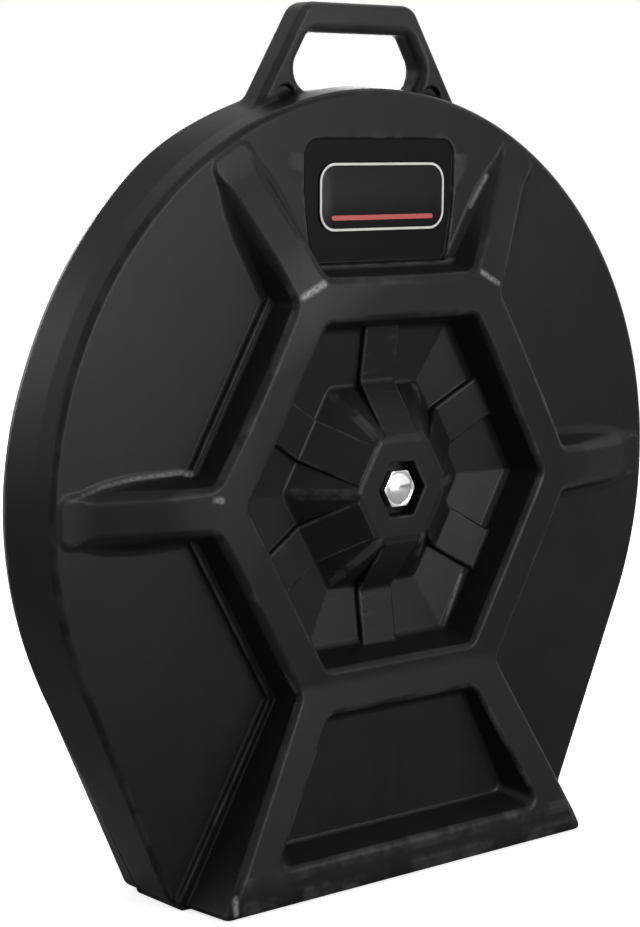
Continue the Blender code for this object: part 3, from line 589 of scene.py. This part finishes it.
class Look:
    """A material with short names for its nodes."""

    def __init__(self, name):
        self.material = bpy.data.materials.new(name)
        self.material.use_nodes = True
        self.tree = self.material.node_tree
        self.shader = self.tree.nodes["Principled BSDF"]
        self.place = self.tree.nodes.new("ShaderNodeTexCoord").outputs["Object"]

    def put(self, value, socket):
        if isinstance(value, bpy.types.NodeSocket):
            self.tree.links.new(value, socket)
        elif isinstance(value, tuple) and len(value) == 3 and len(socket.default_value) == 4:
            socket.default_value = (*value, 1)
        else:
            socket.default_value = value

    def set(self, **values):
        for name, value in values.items():
            self.put(value, self.shader.inputs[name.replace("_", " ")])

    def node(self, kind, output=0, settings=(), **values):
        made = self.tree.nodes.new("ShaderNode" + kind)
        for name, value in dict(settings).items():
            setattr(made, name, value)
        for name, value in values.items():
            self.put(value, made.inputs[name.replace("_", " ")])
        return made.outputs[output]

    def stretched(self, size, turn):
        return self.node("Mapping", Vector=self.place, Scale=size, Rotation=turn)

    def noise(self, scale, detail=2.0, roughness=0.5, place=None):
        return self.node("TexNoise", 0, Vector=self.place if place is None else place, Scale=scale, Detail=detail,
                         Roughness=roughness)

    def cells(self, scale):
        return self.node("TexVoronoi", 0, Vector=self.place, Scale=scale)

    def spread(self, value, low, high, to_low=0.0, to_high=1.0):
        """Maps low..high to to_low..to_high smoothly, and holds it outside."""
        made = self.tree.nodes.new("ShaderNodeMapRange")
        made.interpolation_type = "SMOOTHSTEP"
        for number, part in enumerate((value, low, high, to_low, to_high)):
            self.put(part, made.inputs[number])
        return made.outputs[0]

    def maths(self, a, b, how="ADD"):
        """Maths on two values. All but a sum is held within 0 to 1."""
        made = self.tree.nodes.new("ShaderNodeMath")
        made.operation = how
        made.use_clamp = how != "ADD"
        self.put(a, made.inputs[0])
        self.put(b, made.inputs[1])
        return made.outputs[0]

    def vector(self, how, a, b=None, output="Vector"):
        """Vector maths. Where it scales, b is a number."""
        made = self.tree.nodes.new("ShaderNodeVectorMath")
        made.operation = how
        self.put(a, made.inputs[0])
        if b is not None:
            self.put(b, made.inputs["Scale" if how == "SCALE" else 1])
        return made.outputs[output]

    def mix(self, share, a, b):
        made = self.tree.nodes.new("ShaderNodeMix")
        made.data_type = "RGBA"
        self.put(share, made.inputs[0])
        self.put(a, made.inputs[6])
        self.put(b, made.inputs[7])
        return made.outputs[2]

    def attribute(self, name):
        made = self.tree.nodes.new("ShaderNodeAttribute")
        made.attribute_name = name
        return made.outputs["Fac"]

    def bump(self, height, strength, distance, normal=None):
        made = self.tree.nodes.new("ShaderNodeBump")
        self.put(strength, made.inputs["Strength"])
        self.put(distance, made.inputs["Distance"])
        self.put(height, made.inputs["Height"])
        if normal is not None:
            self.put(normal, made.inputs["Normal"])
        return made.outputs[0]


# Painted highlights (glints) on edges, corners and fillet feet of the shells: from and to by x, d and h, how wide, how
# much
PAINTED_GLINTS = (
    ((-100, 1.5, 152), (-80, 1.5, 161), 4.5, 1.0),  # ring's upper left corner
    ((83, 1.5, 164), (101, 1.5, 155), 4.0, 0.8),  # ring's upper right corner
    ((-182, 1, 9), (-176, 1, 8), 4.0, 0.7),  # left rib's root
    ((-190, 27, 27), (-187, 27, 26), 4.0, 0.7),
    ((95, -11, -253), (101, -11, -257), 4.0, 0.8),  # foot pocket's corner
    ((-179, -18, -284), (-179, -18, -296), 3.5, 0.6),  # foot's corner
    ((94, 29.5, 214), (111, 29.5, 238), 3.0, 0.5),  # upper right rib's foot
    ((-190, 29, 27), (-235, 29.5, 26), 3.0, 0.35),  # left rib's foot
    ((-235, 29.5, 26), (-264, 29.8, 22), 3.0, 0.35),
    ((-264, 29.8, 22), (-288, 30, 15), 3.0, 0.3),
    ((-156, 97, 263), (-85, 97, 292), 4.5, 0.5),  # rear rim
    ((144, 31, 0), (105, 31, -72), 2.2, 0.35),  # foot of the well's wall
    ((92, 31, -82), (72, 31, -123), 2.2, 0.35),
)


def painted_glints(look):
    """How strongly each place of the shells is painted with a highlight, near the listed edges and broken up by noise.
    """
    total = None
    for start, end, width, share in PAINTED_GLINTS:
        a, b = (Vector(to_row(np.array(p))) for p in (start, end))
        along = b - a
        offset = look.vector("SUBTRACT", look.place, tuple(a))
        t = look.vector("DOT_PRODUCT", offset, tuple(along / along.length_squared), output="Value")
        t = look.maths(t, 0.0, "MAXIMUM")
        nearest = look.vector("SCALE", tuple(along), look.maths(t, 1.0, "MINIMUM"))
        away = look.vector("DISTANCE", offset, nearest, output="Value")
        mark = look.spread(away, 0.0, width / 1000, share, 0.0)
        total = mark if total is None else look.maths(total, mark, "MAXIMUM")
    return look.maths(total, look.spread(look.noise(420, 3, 0.6), 0.3, 0.6, 0.35, 1.0), "MULTIPLY")


def shell_look():
    """Near-black plastic: grained, paler over the handle at the top, worn and painted with highlights on its edges,
    and painted with glints at the listed places.
    """
    look = Look("shell_moulded")
    mottle = look.noise(14, 4, 0.6)
    grain = look.noise(1500, 2, 0.5)
    pebble = look.cells(1100)
    streaks = look.noise(60, 3, 0.6, look.stretched((1.0, 1.0, 0.06), (0.0, 0.5, 0.0)))
    # convex edges turn paler: partly wear, partly a painted highlight along them
    edge = look.spread(look.attribute("bend"), 0.10, 0.30)
    worn_edge_and_glint = look.maths(edge, look.spread(look.noise(38, 3, 0.6), 0.42, 0.62), "MULTIPLY")
    black = look.mix(look.spread(mottle, 0.35, 0.7), (0.0058, 0.0059, 0.0061), (0.0078, 0.0079, 0.0081))
    height = look.node("SeparateXYZ", 2, Vector=look.place)
    patches = look.spread(look.noise(22, 3, 0.6), 0.25, 0.7, 0.5, 1.0)
    # paler towards the top, over the handle, in patches
    paler_top = look.maths(look.spread(height, 0.60, 0.64), patches, "MULTIPLY")
    black = look.mix(look.maths(paler_top, 0.9, "MULTIPLY"), black, (0.026, 0.026, 0.0265))
    plastic = look.mix(look.maths(worn_edge_and_glint, 0.6, "MULTIPLY"), black, (0.048, 0.048, 0.049))
    look.set(
        # the listed places are painted with a pale grey highlight (glint)
        Base_Color=look.mix(painted_glints(look), plastic, (0.40, 0.40, 0.41)),
        Roughness=look.spread(streaks, 0.3, 0.7, 0.35, 0.39),
        Normal=look.bump(pebble, 0.10, 0.0004, look.bump(grain, 0.08, 0.0003)),
        Specular_IOR_Level=0.118,
    )
    return look.material


def plain_look(name, colour, roughness, metallic=0.0, grain=900, depth=0.08, spread=0.06, specular=0.5):
    """A surface with a fine grain and slight changes of tone and gloss."""
    look = Look(name)
    tone = look.noise(70, 3, 0.6)
    dark = tuple(c * 0.86 for c in colour)
    look.set(
        Base_Color=look.mix(look.spread(tone, 0.3, 0.7), dark, colour),
        Roughness=look.spread(look.noise(240, 2), 0.3, 0.7, roughness - spread / 2, roughness + spread / 2),
        Normal=look.bump(look.noise(grain, 2), depth, 0.0003),
        Metallic=metallic,
        Specular_IOR_Level=specular,
    )
    return look.material


def turned_look(name, colour, roughness):
    """Metal with fine rings round the spindle, as from turning."""
    look = Look(name)
    offset = look.vector("SUBTRACT", look.place, (0, 0, BASE_DROP / 1000))
    flat = look.vector("MULTIPLY", offset, (1, 0, 1))
    radius = look.vector("LENGTH", flat, output="Value")
    rings = look.node("TexNoise", 0, {"noise_dimensions": "1D"}, W=radius, Scale=4200.0, Detail=2.0)
    look.set(
        Base_Color=colour,
        Roughness=look.spread(rings, 0.3, 0.7, roughness - 0.05, roughness + 0.07),
        Normal=look.bump(rings, 0.12, 0.0002),
        Metallic=1.0,
    )
    return look.material


def felt_look():
    """Dark pressed felt."""
    look = Look("felt_pressed")
    fibre = look.noise(700, 5, 0.75)
    wool = look.cells(420)
    look.set(
        Base_Color=look.mix(look.spread(fibre, 0.3, 0.7), (0.026, 0.026, 0.029), (0.075, 0.075, 0.082)),
        Roughness=0.95,
        Normal=look.bump(look.maths(fibre, wool), 0.6, 0.0006),
        Sheen_Weight=0.25,
        Sheen_Roughness=0.5,
    )
    return look.material


SHELL = shell_look()
LABEL = plain_look("label_plate", (0.0070, 0.0071, 0.0075), 0.36, grain=1600, depth=0.04, specular=0.08)
BORDER = plain_look("label_border", (0.62, 0.61, 0.58), 0.38, grain=1600, depth=0.03)
BAR = plain_look("label_bar", (0.42, 0.035, 0.03), 0.38, grain=1600, depth=0.03)
# a dark, dull film for the label pocket's floor, partly painted shade of the deep pocket
SHADED_FILM = plain_look("label_film_shaded", (0.0050, 0.0050, 0.0052), 0.40, grain=1600, depth=0.03, specular=0.04)
CHROME = plain_look("chrome_bright", (0.94, 0.94, 0.95), 0.11, 1.0, grain=1200, depth=0.015, spread=0.03)
ZINC = turned_look("zinc_plated", (0.56, 0.57, 0.58), 0.32)
BRASS = turned_look("brass_turned", (0.72, 0.52, 0.25), 0.28)
SLEEVE = plain_look("sleeve_tube", (0.05, 0.05, 0.054), 0.38)
FELT = felt_look()
KNOB = plain_look("knob_moulded", (0.026, 0.026, 0.029), 0.36, grain=1300, depth=0.07)


# Pieces


def finish_piece(made, look, body, slot, *replaced):
    """Gives a piece its material and its body, and hides the CAD nodes that it replaces. The slot is not used."""
    made.data.materials.clear()
    made.data.materials.append(look)
    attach(made, body)
    if replaced:
        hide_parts(*replaced)
    return made


def millimetres(node):
    """A CAD node's lowest and highest corner by x, d and h."""
    low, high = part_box(node)
    move = Vector((0, -RING_Y, -BASE_DROP))
    return low * 1000 + move, high * 1000 + move


def rounded_ring(x, d, h, bore, radius, front, back, r):
    """A washer, tube or disc with a bore and rounded edges."""
    rho = np.hypot(x, h)
    form = both(rho - radius, abs(d - (front + back) / 2) - (back - front) / 2, r)
    return both(form, bore - rho, r) if bore else form


def ring_piece(node, look, body, slot, bore=BORE, r=0.3, cell=0.9, wave=None):
    """A washer, tube, disc or pad in a CAD node's place, as large as the node."""
    low, high = millimetres(node)
    radius, front, back = high.x, low.y, high.y

    def form(x, d, h):
        made = rounded_ring(x, d, h, bore, radius, front, back, r)
        return made if wave is None else made + wave(x, d, h)

    reach = radius + 2
    made = moulded(node + "_dressed", form, (-reach, front - 2, -reach), (reach, back + 2, reach), cell)
    return finish_piece(made, look, body, slot, node)


def outer_front(points):
    """Which points lie on the outside of the front shell."""
    p = points.T
    return abs(either(front_form(*p), handle_form(*p), 5.0)) < 1.0


shell_cell = 2.0
front = moulded("front_shell_moulded", front_shell, (-318, -22, -306), (318, 84, 374), shell_cell, most=320000,
                seen=outer_front)
finish_piece(front, SHELL, "case", "shell_plastic", "front_shell")
rear = moulded("rear_shell_moulded", rear_shell, (-318, 66, -306), (318, 106, 318), shell_cell, most=160000)
finish_piece(rear, SHELL, "lid", "shell_plastic", "rear_shell")


# Label


def rounded_loop(corners, r, steps=10):
    """Points of a polygon with rounded corners, listed anticlockwise by x and h, and their outward directions."""
    points, outward = [], []
    for k, corner in enumerate(corners):
        here = np.array(corner, float)
        into = here - corners[k - 1]
        out = corners[(k + 1) % len(corners)] - here
        before = np.array((into[1], -into[0])) / np.hypot(*into)
        after = np.array((out[1], -out[0])) / np.hypot(*out)
        centre = here - (before + after) * r / (1 + before @ after)
        start = math.atan2(before[1], before[0])
        turn = math.atan2(before[0] * after[1] - before[1] * after[0], before @ after)
        for step in range(steps + 1):
            angle = start + turn * step / steps
            away = np.array((math.cos(angle), math.sin(angle)))
            points.append(centre + away * r)
            outward.append(away)
    return np.array(points), np.array(outward)


def raised(name, corners, r, steps, ring=False):
    """A flat piece from an outline. Its steps are insets from that with their depths d, from the back to the front."""
    flat, outward = rounded_loop(corners, r)
    loops = [np.insert(flat - outward * inset, 1, d, axis=1) for inset, d in steps]
    count, size = len(loops), len(flat)
    made = bmesh.new()
    rows = [[made.verts.new(p) for p in to_row(loop)] for loop in loops]
    for k in range(count if ring else count - 1):
        one, two = rows[k], rows[(k + 1) % count]
        for i in range(size):
            j = (i + 1) % size
            made.faces.new((one[i], one[j], two[j], two[i]))
    if not ring:
        made.faces.new(rows[0])
        made.faces.new(rows[-1])
    bmesh.ops.recalc_face_normals(made, faces=made.faces)
    bmesh.ops.triangulate(made, faces=made.faces)
    mesh = bpy.data.meshes.new(name)
    made.to_mesh(mesh)
    made.free()
    mesh.shade_smooth()
    mesh.set_sharp_from_angle(angle=math.radians(30))
    return add_object(name, mesh)


def rectangle(left, right, low, high):
    return [np.array(p) for p in ((left, low), (right, low), (right, high), (left, high))]


def label():
    """The plate with a pale line round it and a slim bar, and the smooth dark film behind it, whose extra darkness is
    painted shade on the deep pocket's floor.
    """
    low, high = millimetres("label_plate")
    left, right, foot, top = low.x + 2.3, high.x + 2.3, low.z + 3.0, high.z + 0.4
    face = low.y
    plate = raised("label_plate_dressed", rectangle(left, right, foot, top), 15.0,
                   [(0, high.y), (0, face + 0.4), (0.12, face + 0.12), (0.4, face)])
    finish_piece(plate, LABEL, "case", "label_plastic", "label_plate")
    edge = rectangle(left + 0.5, right - 0.5, foot + 0.5, top - 0.5)
    line = raised("label_border", edge, 14.5,
                  [(0, face + 0.2), (0, face - 0.15), (0.15, face - 0.3), (1.75, face - 0.3), (1.9, face - 0.15),
                   (1.9, face + 0.2)], ring=True)
    finish_piece(line, BORDER, "case", "label_plastic")
    bar = raised("label_bar", rectangle(left + 12, right - 12, foot + 8.6, foot + 12.4), 1.8,
                 [(0, face + 0.2), (0, face - 0.12), (0.12, face - 0.25)])
    finish_piece(bar, BAR, "case", "label_plastic")
    # the film fills the pocket's floor but for 1 mm all round; its darker, duller tone paints shade there
    half, low_half = LABEL_HALF - 1, LABEL_LOW_HALF - 1 + LABEL_SPREAD
    turn = LABEL_LOW + (LABEL_HALF - LABEL_LOW_HALF) / LABEL_SPREAD
    low_h, top_h = LABEL_LOW + 1, LABEL_TOP - 1
    field = [np.array(p) for p in ((-low_half, low_h), (low_half, low_h), (half, turn), (half, top_h), (-half, top_h),
                                   (-half, turn))]
    shaded_film = raised("label_film_shaded", field, 7.0, [(0, LABEL_D + 0.3), (0, LABEL_D - 0.3), (0.1, LABEL_D - 0.4)])
    finish_piece(shaded_film, SHADED_FILM, "case", "label_plastic")


label()


# Spindle


def hexagon_prism(x, d, h, radius, front, back, chamfer):
    """A nut or bolt head with its front corners chamfered."""
    flat = hexagon(x, h, radius * COS30, 0.4)
    form = both(flat, abs(d - (front + back) / 2) - (back - front) / 2, 0.3)
    rho = np.hypot(x, h)
    return both(form, (rho + (front - d) * 1.6 - radius + chamfer) * 0.53, 0.3)


def bolt_head(x, d, h):
    """A hexagon head with a low dome and a groove round it."""
    low, _ = millimetres("spindle_bolt")
    front = low.y + 2.0
    dome_radius = 37.6
    head = hexagon_prism(x, d, h, 16.1, front, front + 10.0, 1.0)
    rho = np.hypot(x, h)
    dome = np.hypot(rho, d - (low.y + dome_radius)) - dome_radius
    dome = both(both(dome, rho - 11.6, 0.8), d - front - 6)
    groove = both(abs(rho - 12.3) - 0.5, d - front - 0.5, 0.3)
    return either(less(head, groove, 0.4), dome, 0.2)


def threaded_shaft(name, radius, front, back, pitch, depth):
    """A rod with a thread, along the spindle."""
    turns = 40
    rows = int((back - front) / pitch * 8)
    angle = np.arange(turns) / turns * 2 * math.pi
    d = np.linspace(front, back, rows + 1)
    a, y = np.meshgrid(angle, d)
    wave = abs((y / pitch - a / (2 * math.pi)) % 1 - 0.5) * 2
    end = np.clip((back - y) / 1.6, 0, 1)
    r = radius - depth * wave * (y > front + 3) - (1 - end) * 1.0
    points = np.stack([r * np.cos(a), y, r * np.sin(a)], -1).reshape(-1, 3)
    k = np.arange(rows * turns)
    row, column = k // turns, k % turns
    after = (column + 1) % turns
    here, above = row * turns, (row + 1) * turns
    quads = np.stack([here + column, here + after, above + after, above + column], 1)
    tris = np.concatenate([quads[:, [0, 1, 2]], quads[:, [0, 2, 3]]])
    middle = len(points)
    points = np.concatenate([points, [[0, front, 0], [0, back, 0]]])
    column = np.arange(turns)
    after = (column + 1) % turns
    last = rows * turns
    caps = np.concatenate([np.stack([column * 0 + middle, after, column], 1),
                           np.stack([column * 0 + middle + 1, last + column, last + after], 1)])
    mesh = new_mesh(name, to_row(points), np.concatenate([tris, caps]))
    mesh.shade_smooth()
    mesh.set_sharp_from_angle(angle=math.radians(50))
    return add_object(name, mesh)


head_low, bolt_high = millimetres("spindle_bolt")
head = moulded("bolt_head", bolt_head, (-18, head_low.y - 2, -18), (18, head_low.y + 14, 18), 0.55)
finish_piece(head, CHROME, "case", "chrome", "spindle_bolt")
shaft = threaded_shaft("bolt_shaft", 4.98, head_low.y + 9, bolt_high.y, 1.75, 0.75)
finish_piece(shaft, ZINC, "case", "chrome")


# Washers, nuts and felts


def fuzzy(number):
    """A slight unevenness of a felt pad's faces, different for each pad."""
    turn = number * 1.7

    def wave(x, d, h):
        return (np.sin(x * 0.9 + turn) * np.sin(h * 1.1 - turn) + np.sin((x + h) * 2.3 + turn * 3) * 0.5) * 0.09

    return wave


for washer, body, edge in (("lock_washer", "case", 0.4), ("clamp_washer", "clamp", 0.4),
                           ("rear_washer", "knob_washer", 0.35)):
    ring_piece(washer, ZINC, body, "zinc", r=edge)
ring_piece("spindle_sleeve", SLEEVE, "case", "sleeve_plastic", r=0.25, cell=0.6)
for number in range(1, 9):
    pad = ring_piece(f"felt_pad_{number}", FELT, "case", "felt", bore=6.95, r=1.1, cell=0.8, wave=fuzzy(number))


def cup_washer():
    """A seat for the cymbals: a dished disc with a rolled edge."""
    low, high = millimetres("cup_washer")

    def form(x, d, h):
        rho = np.hypot(x, h)
        disc = rounded_ring(x, d, h, BORE, high.x, low.y, high.y, 0.8)
        hollow = both(rho - 19.5 + (d - low.y - 0.9), d - low.y - 0.9, 0.3)
        return less(disc, both(hollow, 8.5 - rho, 0.3), 0.3)

    made = moulded("cup_washer_dressed", form, (-24, low.y - 2, -24), (24, high.y + 2, 24), 0.6)
    finish_piece(made, ZINC, "case", "zinc", "cup_washer")


def lock_nut():
    """A hexagon nut with a collar behind."""
    low, high = millimetres("lock_nut")

    def form(x, d, h):
        nut = hexagon_prism(x, d, h, 9.8, low.y, high.y, 0.7)
        rho = np.hypot(x, h)
        collar = both(both(rho - 7.6, d - high.y, 0.6), high.y - 3.2 - d)
        nut = both(nut, d - high.y + 2.0, 0.4)
        return both(either(nut, collar, 0.5), BORE - rho, 0.3)

    made = moulded("lock_nut_dressed", form, (-12, low.y - 2, -12), (12, high.y + 2, 12), 0.5)
    finish_piece(made, ZINC, "case", "zinc", "lock_nut")


def wing_nut():
    """A tapered hub with two wings."""
    low, high = millimetres("wing_nut")
    reach = high.x

    def form(x, d, h):
        rho = np.hypot(x, h)
        hub = both(both(rho - 6.6 - (high.y - d) * 0.26, d - high.y, 0.7), low.y - d, 0.4)
        out = abs(x)
        spine = low.y + 3.6 + np.clip(out - 6, 0, 20) * 0.09
        wing = both(np.hypot(out - 14.2, d - spine) - 4.2, abs(h) - 2.1, 1.0)
        arm = both(both(out - 15.5, 3.0 - out), both(abs(d - spine + 0.2) - 2.9, abs(h) - 2.0, 1.0))
        tip = both(np.hypot(out - reach + 3.9, d - spine - 0.2) - 3.4, abs(h) - 2.1, 1.0)
        wings = either(either(wing, arm, 1.5), tip, 2.0)
        nut = either(hub, wings, 1.6)
        nut = both(nut, np.maximum(low.y - d, d - high.y))
        return both(nut, BORE - rho, 0.3)

    made = moulded("wing_nut_dressed", form, (-24, low.y - 2, -12), (24, high.y + 2, 12), 0.5)
    finish_piece(made, ZINC, "wing", "zinc", "wing_nut")


def hand_knob():
    """A knob with six lobes, a ribbed ring-shaped hollow in its back, and a seat for its insert and cap."""
    low, high = millimetres("hand_knob")

    def form(x, d, h):
        rho = np.hypot(x, h)
        angle = np.arctan2(h, x)
        lobes = rho - 30.0 + 1.25 * (1 - np.cos(6 * angle))
        knob = both(lobes * 0.95, abs(d - (low.y + high.y) / 2) - (high.y - low.y) / 2, 2.4)
        scoop = both(rho - 22.0, high.y - 1.0 - d, 1.0)
        rim = both(scoop, 14.5 - rho, 1.0)
        knob = less(knob, rim, 0.8)
        ribs = both(abs(np.sin(angle * 3)) * rho - 1.2, both(high.y - 1.6 - d, abs(rho - 18.2) - 3.8), 0.4)
        knob = either(knob, both(ribs, d - high.y + 0.25), 0.4)
        seat = np.minimum(rho - 9.3, both(rho - 12.3, high.y - 1.5 - d))
        return less(knob, seat, 0.3)

    made = moulded("hand_knob_dressed", form, (-32, low.y - 2, -32), (32, high.y + 2, 32), 0.7)
    finish_piece(made, KNOB, "knob", "knob_plastic", "hand_knob")


cup_washer()
lock_nut()
wing_nut()
hand_knob()
ring_piece("knob_insert", BRASS, "knob", "brass", r=0.4, cell=0.6)
ring_piece("knob_cap", KNOB, "knob", "knob_plastic", bore=0, r=0.4, cell=0.6)


# Studio


def link_nodes(tree, *pairs):
    for start, end in pairs:
        tree.links.new(start, end)


def floor():
    """A pale floor with the object's shadow, brought up to white for the camera alone."""
    mesh = bpy.data.meshes.new("floor")
    made = bmesh.new()
    bmesh.ops.create_grid(made, x_segments=2, y_segments=2, size=6)
    made.to_mesh(mesh)
    made.free()
    ground = add_object("floor", mesh)
    look = bpy.data.materials.new("floor_white")
    look.use_nodes = True
    tree = look.node_tree
    tree.nodes.clear()
    shade, bright, seen, rays, both_rays, pick, out = (tree.nodes.new("ShaderNode" + kind) for kind in (
        "BsdfDiffuse", "BsdfDiffuse", "Emission", "LightPath", "AddShader", "MixShader", "OutputMaterial"))
    shade.inputs["Color"].default_value = (0.42, 0.42, 0.42, 1)
    bright.inputs["Color"].default_value = (0.9, 0.9, 0.9, 1)
    seen.inputs["Strength"].default_value = 0.68
    link_nodes(tree, (bright.outputs[0], both_rays.inputs[0]), (seen.outputs[0], both_rays.inputs[1]),
               (rays.outputs["Is Camera Ray"], pick.inputs[0]), (shade.outputs[0], pick.inputs[1]),
               (both_rays.outputs[0], pick.inputs[2]), (pick.outputs[0], out.inputs[0]))
    mesh.materials.append(look)


def lamp(name, azimuth, elevation, size, power):
    """A square soft light that faces the case from that direction, 2.6 m away."""
    a, e = math.radians(azimuth), math.radians(elevation)
    away = Vector((math.sin(a) * math.cos(e), -math.cos(a) * math.cos(e), math.sin(e)))
    data = bpy.data.lights.new(name, "AREA")
    data.shape = "SQUARE"
    data.size = size
    data.energy = power
    made = add_object(name, data)
    made.location = away * 2.6 + Vector((0, 0, 0.3))
    made.rotation_euler = (-away).to_track_quat("-Z", "Y").to_euler()


def world():
    """White for the camera and in reflections and clear things, and a soft light on everything else."""
    made = bpy.data.worlds.new("studio")
    bpy.context.scene.world = made
    made.use_nodes = True
    tree = made.node_tree
    tree.nodes.clear()
    rays, light, white, mix, out = (tree.nodes.new("ShaderNode" + kind) for kind in (
        "LightPath", "Background", "Background", "MixShader", "OutputWorld"))
    for background, strength in ((light, 0.42), (white, 1.0)):
        background.inputs[0].default_value = (1, 1, 1, 1)
        background.inputs[1].default_value = strength
    kinds = rays.outputs["Is Camera Ray"]
    for kind in ("Is Glossy Ray", "Is Transmission Ray"):
        either_kind = tree.nodes.new("ShaderNodeMath")
        either_kind.operation = "MAXIMUM"
        link_nodes(tree, (kinds, either_kind.inputs[0]), (rays.outputs[kind], either_kind.inputs[1]))
        kinds = either_kind.outputs[0]
    link_nodes(tree, (kinds, mix.inputs[0]), (light.outputs[0], mix.inputs[1]), (white.outputs[0], mix.inputs[2]),
               (mix.outputs[0], out.inputs[0]))


def camera():
    """The photograph's view."""
    yaw, pitch, roll = (math.radians(a) for a in (40.37, 8.12, -0.37))
    forward = Vector((math.sin(yaw) * math.cos(pitch), math.cos(yaw) * math.cos(pitch), -math.sin(pitch)))
    right = Vector((math.cos(yaw), -math.sin(yaw), 0))
    down = forward.cross(right)
    right, down = math.cos(roll) * right + math.sin(roll) * down, math.cos(roll) * down - math.sin(roll) * right
    data = bpy.data.cameras.new("camera")
    data.sensor_fit = "VERTICAL"
    data.sensor_height = 36
    data.lens = 91.62
    data.clip_start = 0.05
    made = add_object("camera", data)
    turn = Matrix((right, -down, -forward)).transposed()
    made.matrix_world = Matrix.Translation(Vector((-1.21183, -1.36748, 0.57766))) @ turn.to_4x4()
    bpy.context.scene.camera = made


floor()
world()
lamp("key_low", 20, 7, 1.0, 40.0)
lamp("key_high", 32, 32, 1.2, 5.0)
lamp("left_low", -100, 12, 1.1, 8.0)
lamp("left_top", -60, 52, 1.2, 3.0)
lamp("back_left", -155, 18, 1.1, 9.0)
lamp("back_top", 115, 62, 1.3, 8.0)
lamp("back_right", 145, 10, 1.1, 34.0)
camera()
bpy.context.scene.view_settings.view_transform = "Standard"
